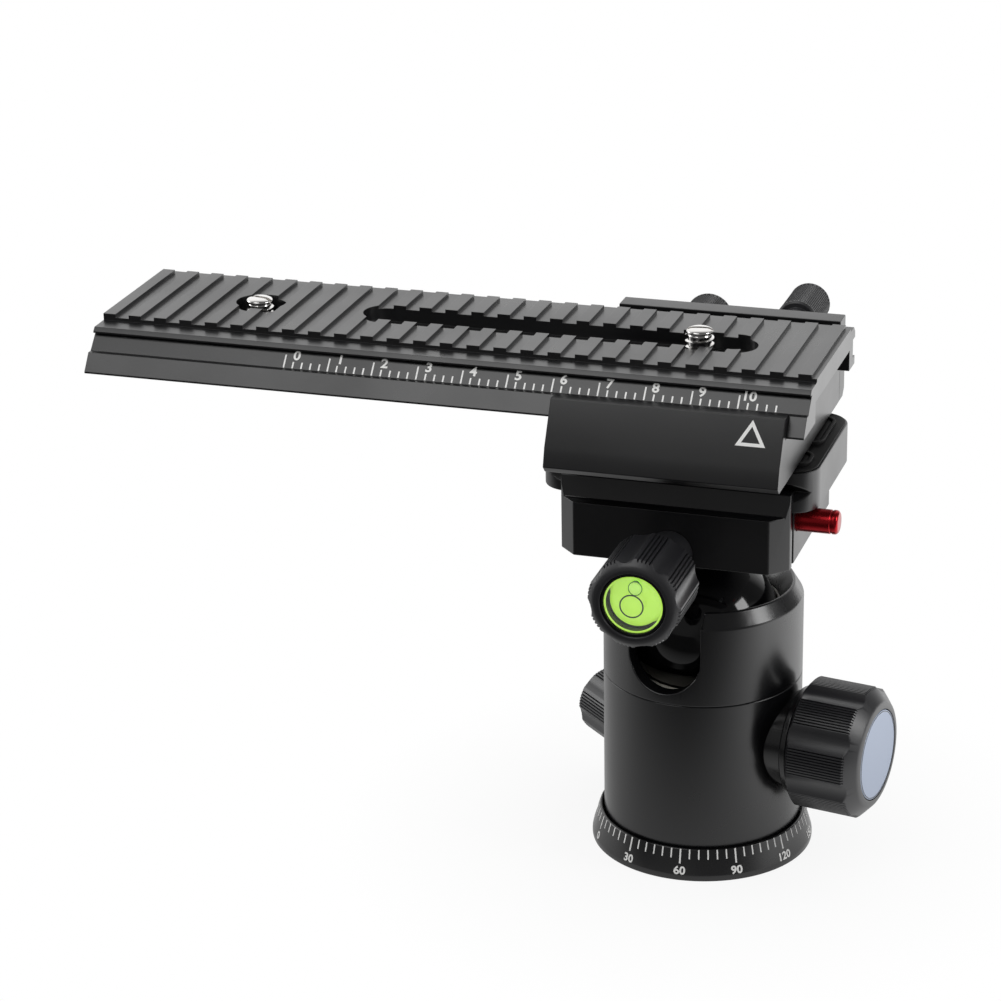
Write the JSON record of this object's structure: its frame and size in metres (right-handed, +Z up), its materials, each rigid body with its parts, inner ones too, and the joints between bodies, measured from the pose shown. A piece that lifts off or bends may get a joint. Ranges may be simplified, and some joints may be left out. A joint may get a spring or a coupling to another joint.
{
  "type": "macro focusing rail",
  "caption": "Grooved focusing rail with a printed scale, rack drive and camera screws, held by a quick-release clamp on a ball head with a degree base.",
  "frame": {"origin": "centre of the tripod socket's mouth, in the base's underside", "axes": "+X along the rail towards its short end, -Y towards the clamp knob, +Z up"},
  "size_m": [0.1749, 0.104, 0.1201],
  "materials": {
    "black_aluminium": "satin black anodised",
    "gloss_black": "polished black hard-anodised",
    "cap_aluminium": "pale blue-grey anodised, fine turned",
    "red_aluminium": "bright red anodised",
    "bright_steel": "nickel plated",
    "plain_steel": "machined",
    "black_steel": "black oxide",
    "bronze": "plain bearing bronze",
    "black_rubber": "moulded",
    "slide_plastic": "acetal",
    "pale_plastic": "nylon",
    "level_black": "moulded",
    "level_fluid": "lime green fluid",
    "level_window": "clear acrylic"
  },
  "bodies": {
    "base": {"base_plate": "black_aluminium", "pan_spindle": "plain_steel", "tripod_bushing": "plain_steel", "retaining_washer": "plain_steel", "retaining_screw": "black_steel", "pan_bearing": "slide_plastic"},
    "housing": {"housing_shell": "black_aluminium", "housing_collar": "black_aluminium", "upper_ball_seat": "slide_plastic", "seat_spring": "plain_steel", "boss_ring": "black_aluminium"},
    "clamping_seat": {"lower_ball_seat": "pale_plastic", "wedge_plunger": "bronze"},
    "main_lock": {"main_lock_screw": "plain_steel", "main_knob": "black_aluminium", "main_knob_cap": "cap_aluminium"},
    "pan_lock": {"pan_lock_screw": "plain_steel", "pan_lock_knob": "black_aluminium"},
    "pan_brake": {"pan_brake_pad": "bronze"},
    "ball": {"ball_stem": "gloss_black", "swivel_washer": "slide_plastic", "clamp_bolt": "black_steel"},
    "clamp": {"clamp_base": "black_aluminium", "guide_pins": "plain_steel", "jaw_springs": "plain_steel", "pin_spring": "plain_steel"},
    "jaw": {"clamp_jaw": "black_aluminium"},
    "clamp_knob": {"clamp_screw": "plain_steel", "clamp_knob": "black_aluminium", "level_housing": "level_black", "level_vial": "level_fluid", "level_lens": "level_window"},
    "safety_pin": {"safety_pin": "red_aluminium"},
    "carriage": {"quick_release_plate": "black_aluminium", "plate_pads": "black_rubber", "plate_screw": "bright_steel", "carriage": "black_aluminium", "rear_jaw": "black_aluminium", "rear_jaw_screws": "black_steel", "shaft_bush": "bronze"},
    "focus_drive": {"pinion_shaft": "plain_steel", "focus_knob": "black_aluminium", "focus_set_screw": "black_steel"},
    "rail_lock": {"lock_screw": "plain_steel", "lock_knob": "black_aluminium"},
    "rail_lock_pad": {"lock_pad": "bronze"},
    "rail": {"rail": "black_aluminium", "gear_rack": "plain_steel", "rack_screws": "black_steel"},
    "slot_washer": {"slot_washer": "plain_steel"},
    "slot_screw": {"slot_screw": "bright_steel"},
    "eye_washer": {"eye_washer": "plain_steel"},
    "eye_screw": {"eye_screw": "bright_steel"}
  },
  "joints": [
    {"name": "pan", "type": "hinge", "parent": "base", "child": "housing", "pos_m": [0, 0, 0], "axis": [0, 0, 1], "continuous": true},
    {"name": "main_lock_turn", "type": "hinge", "parent": "housing", "child": "main_lock", "pos_m": [0, 0, 0.0277], "axis": [-0.9848, 0.1736, 0], "range_deg": [0, 90]},
    {"name": "seat_lift", "type": "slide", "parent": "housing", "child": "clamping_seat", "axis": [0, 0, 1], "range_m": [0, 0.0002]},
    {"name": "pan_lock_turn", "type": "hinge", "parent": "housing", "child": "pan_lock", "pos_m": [0, 0, 0.0165], "axis": [0.7314, -0.682, 0], "range_deg": [0, 180]},
    {"name": "pan_brake_press", "type": "slide", "parent": "housing", "child": "pan_brake", "axis": [0.7314, -0.682, 0], "range_m": [0, 0.0003]},
    {"name": "ball_tilt", "type": "hinge", "parent": "housing", "child": "ball", "pos_m": [0, 0, 0.0515], "axis": [0.9848, -0.1736, 0], "range_deg": [-40, 70]},
    {"name": "clamp_swivel", "type": "hinge", "parent": "ball", "child": "clamp", "pos_m": [0, 0, 0.0752], "axis": [0, 0, 1], "continuous": true},
    {"name": "jaw_open", "type": "slide", "parent": "clamp", "child": "jaw", "axis": [0, -1, 0], "range_m": [0, 0.0035]},
    {"name": "clamp_knob_turn", "type": "hinge", "parent": "jaw", "child": "clamp_knob", "pos_m": [-0.0009, 0, 0.078], "axis": [0, -1, 0], "range_deg": [0, 1575]},
    {"name": "pin_press", "type": "slide", "parent": "clamp", "child": "safety_pin", "axis": [-1, 0, 0], "range_m": [0, 0.003], "stiffness_N_per_m": 500, "springref_m": -0.002, "deforming": ["pin_spring"]},
    {"name": "plate_shift", "type": "slide", "parent": "clamp", "child": "carriage", "axis": [1, 0, 0], "range_m": [-0.003, 0.003]},
    {"name": "rail_focus", "type": "slide", "parent": "carriage", "child": "rail", "axis": [1, 0, 0], "range_m": [-0.027, 0.104]},
    {"name": "focus_turn", "type": "hinge", "parent": "carriage", "child": "focus_drive", "pos_m": [-0.0113, 0, 0.1057], "axis": [0, 1, 0], "range_deg": [-360, 1330]},
    {"name": "rail_lock_turn", "type": "hinge", "parent": "carriage", "child": "rail_lock", "pos_m": [0.0123, 0, 0.1113], "axis": [0, -1, 0], "range_deg": [0, 180]},
    {"name": "rail_lock_press", "type": "slide", "parent": "carriage", "child": "rail_lock_pad", "axis": [0, -1, 0], "range_m": [0, 0.00025]},
    {"name": "slot_screw_shift", "type": "slide", "parent": "rail", "child": "slot_washer", "axis": [1, 0, 0], "range_m": [-0.07, 0.0075]},
    {"name": "slot_screw_turn", "type": "hinge", "parent": "slot_washer", "child": "slot_screw", "pos_m": [-0.0009, -0.0011, 0], "axis": [0, 0, 1], "continuous": true},
    {"name": "eye_screw_shift", "type": "slide", "parent": "rail", "child": "eye_washer", "axis": [1, 0, 0], "range_m": [0, 0.0012]},
    {"name": "eye_screw_turn", "type": "hinge", "parent": "eye_washer", "child": "eye_screw", "pos_m": [-0.1014, -0.0011, 0], "axis": [0, 0, 1], "continuous": true}
  ],
  "couplings": [
    {"joint": "main_lock_turn", "follows": "seat_lift", "rad_per_m": 7854},
    {"joint": "pan_lock_turn", "follows": "pan_brake_press", "rad_per_m": 10472},
    {"joint": "clamp_knob_turn", "follows": "jaw_open", "rad_per_m": 7854},
    {"joint": "focus_turn", "follows": "rail_focus", "rad_per_m": 222.22},
    {"joint": "rail_lock_turn", "follows": "rail_lock_press", "rad_per_m": 12566}
  ]
}
